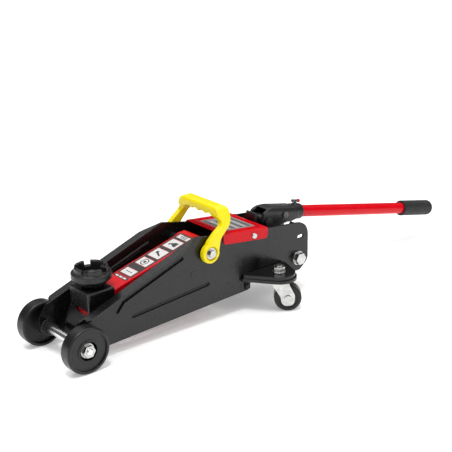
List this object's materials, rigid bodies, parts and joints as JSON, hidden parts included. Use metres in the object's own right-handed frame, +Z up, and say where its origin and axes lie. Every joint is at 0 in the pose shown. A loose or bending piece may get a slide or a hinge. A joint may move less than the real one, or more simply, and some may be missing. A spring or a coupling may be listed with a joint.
{
  "type": "car jack",
  "caption": "Low hydraulic trolley jack: a pumped handle raises a levelled saddle on a pivoting arm between two side plates on wheels and swivel casters.",
  "frame": {"origin": "on the floor, under the middle of the jack with its handle down", "axes": "+X toward the pump handle, +Y to the left side, +Z up"},
  "size_m": [0.7844, 0.1976, 0.175],
  "materials": {
    "frame_black": "semi-gloss black paint",
    "red_paint": "gloss red paint",
    "zinc": "bright zinc plate",
    "steel_dark": "black oxide",
    "cast_black": "black coated casting",
    "cast_grey": "grey casting",
    "chrome": "hard chrome",
    "wheel_black": "moulded nylon",
    "grip_rubber": "matt rubber",
    "seal_rubber": "oil-proof rubber",
    "yellow_plastic": "yellow moulded plastic"
  },
  "bodies": {
    "frame": {"side_plate_left": "frame_black", "side_plate_right": "frame_black", "front_axle": "zinc", "wheel_spacers": "zinc", "axle_nuts": "zinc", "arm_shaft": "steel_dark", "pivot_washers": "zinc", "pivot_bolts": "zinc", "link_studs": "frame_black", "stud_clips": "steel_dark", "valve_block": "cast_black", "reservoir": "frame_black", "ram_cylinder": "cast_grey", "gland_cap": "cast_grey", "filler_plug": "seal_rubber", "rear_bolts": "zinc", "spring_anchor": "zinc", "pump_cylinder": "steel_dark", "caster_shelf_left": "frame_black", "caster_shelf_right": "frame_black", "caster_stems": "zinc", "caster_nuts": "zinc", "caster_races": "zinc", "cover_plate": "red_paint", "cover_screws": "zinc", "return_springs": "zinc", "pump_spring": "zinc"},
    "wheel_left": {"front_wheel_left": "wheel_black"},
    "wheel_right": {"front_wheel_right": "wheel_black"},
    "arm": {"lift_arm": "red_paint", "arm_bush": "steel_dark", "crank_pin": "steel_dark"},
    "crank_roller_body": {"crank_roller": "steel_dark"},
    "bracket": {"saddle_bracket": "frame_black", "bracket_bolt": "zinc", "bracket_nut": "zinc", "link_pin": "frame_black", "link_clips": "steel_dark"},
    "levelling_link_left": {"link_left": "frame_black"},
    "levelling_link_right": {"link_right": "frame_black"},
    "saddle_body": {"saddle": "cast_black", "saddle_clip": "steel_dark"},
    "ram_body": {"ram": "chrome", "ram_seal": "seal_rubber"},
    "handle": {"handle_socket": "cast_black", "handle_tube": "red_paint", "handle_grip": "grip_rubber", "handle_screw": "steel_dark", "socket_pin": "steel_dark", "roller_pin": "steel_dark"},
    "pump_roller_body": {"pump_roller": "steel_dark"},
    "plunger": {"pump_plunger": "chrome"},
    "valve": {"release_valve": "steel_dark"},
    "carry": {"carry_handle": "yellow_plastic"},
    "swivel_left": {"caster_fork_left": "zinc", "caster_axle_left": "zinc"},
    "swivel_right": {"caster_fork_right": "zinc", "caster_axle_right": "zinc"},
    "rear_wheel_left": {"caster_wheel_left": "wheel_black"},
    "rear_wheel_right": {"caster_wheel_right": "wheel_black"}
  },
  "joints": [
    {"name": "arm_lift", "type": "hinge", "parent": "frame", "child": "arm", "pos_m": [-0.13804, 0, 0.112], "axis": [0, 1, 0], "range_deg": [0, 82.3], "deforming": ["return_springs"]},
    {"name": "crank_roller_spin", "type": "hinge", "parent": "arm", "child": "crank_roller_body", "pos_m": [-0.10119, 0, 0.06983], "axis": [0, 1, 0], "continuous": true},
    {"name": "bracket_level", "type": "hinge", "parent": "arm", "child": "bracket", "pos_m": [-0.30704, 0, 0.058], "axis": [0, 1, 0], "range_deg": [-82.3, 0]},
    {"name": "saddle_turn", "type": "hinge", "parent": "bracket", "child": "saddle_body", "pos_m": [-0.30804, 0, 0.1], "axis": [0, 0, 1], "continuous": true},
    {"name": "ram_slide", "type": "slide", "parent": "frame", "child": "ram_body", "axis": [-1, 0, 0], "range_m": [0, 0.0737]},
    {"name": "handle_pump", "type": "hinge", "parent": "frame", "child": "handle", "pos_m": [0.00196, 0, 0.118], "axis": [0, -1, 0], "range_deg": [0, 34], "deforming": ["pump_spring"]},
    {"name": "plunger_slide", "type": "slide", "parent": "frame", "child": "plunger", "axis": [0, 0, 1], "range_m": [0, 0.01862]},
    {"name": "pump_roller_spin", "type": "hinge", "parent": "handle", "child": "pump_roller_body", "pos_m": [0.03639, 0, 0.12171], "axis": [0, 1, 0], "continuous": true},
    {"name": "release_turn", "type": "hinge", "parent": "frame", "child": "valve", "pos_m": [0.05446, 0, 0.074], "axis": [0.5, 0, 0.866], "range_deg": [0, 180]},
    {"name": "carry_swing", "type": "hinge", "parent": "frame", "child": "carry", "pos_m": [-0.13804, 0, 0.112], "axis": [0, 1, 0], "range_deg": [-58, 12]},
    {"name": "link_left_swing", "type": "hinge", "parent": "frame", "child": "levelling_link_left", "pos_m": [-0.16304, 0.028, 0.083], "axis": [0, 1, 0], "range_deg": [0, 82.3]},
    {"name": "front_wheel_left_spin", "type": "hinge", "parent": "frame", "child": "wheel_left", "pos_m": [-0.36004, 0.058, 0.033], "axis": [0, 1, 0], "continuous": true},
    {"name": "caster_left_swivel", "type": "hinge", "parent": "frame", "child": "swivel_left", "pos_m": [-0.02504, 0.071, 0.05], "axis": [0, 0, 1], "continuous": true},
    {"name": "caster_left_spin", "type": "hinge", "parent": "swivel_left", "child": "rear_wheel_left", "pos_m": [-0.01493, 0.07918, 0.0208], "axis": [-0.6293, 0.7771, 0], "continuous": true},
    {"name": "link_right_swing", "type": "hinge", "parent": "frame", "child": "levelling_link_right", "pos_m": [-0.16304, -0.028, 0.083], "axis": [0, 1, 0], "range_deg": [0, 82.3]},
    {"name": "front_wheel_right_spin", "type": "hinge", "parent": "frame", "child": "wheel_right", "pos_m": [-0.36004, -0.058, 0.033], "axis": [0, 1, 0], "continuous": true},
    {"name": "caster_right_swivel", "type": "hinge", "parent": "frame", "child": "swivel_right", "pos_m": [-0.02504, -0.071, 0.05], "axis": [0, 0, 1], "continuous": true},
    {"name": "caster_right_spin", "type": "hinge", "parent": "swivel_right", "child": "rear_wheel_right", "pos_m": [-0.01493, -0.07918, 0.0208], "axis": [-0.6293, -0.7771, 0], "continuous": true}
  ],
  "couplings": [
    {"joint": "bracket_level", "follows": "arm_lift", "ratio": -1},
    {"joint": "link_left_swing", "follows": "arm_lift", "ratio": 1},
    {"joint": "link_right_swing", "follows": "arm_lift", "ratio": 1},
    {"joint": "ram_slide", "follows": "arm_lift", "m_per_rad": 0.051308},
    {"joint": "plunger_slide", "follows": "handle_pump", "m_per_rad": 0.031376}
  ]
}
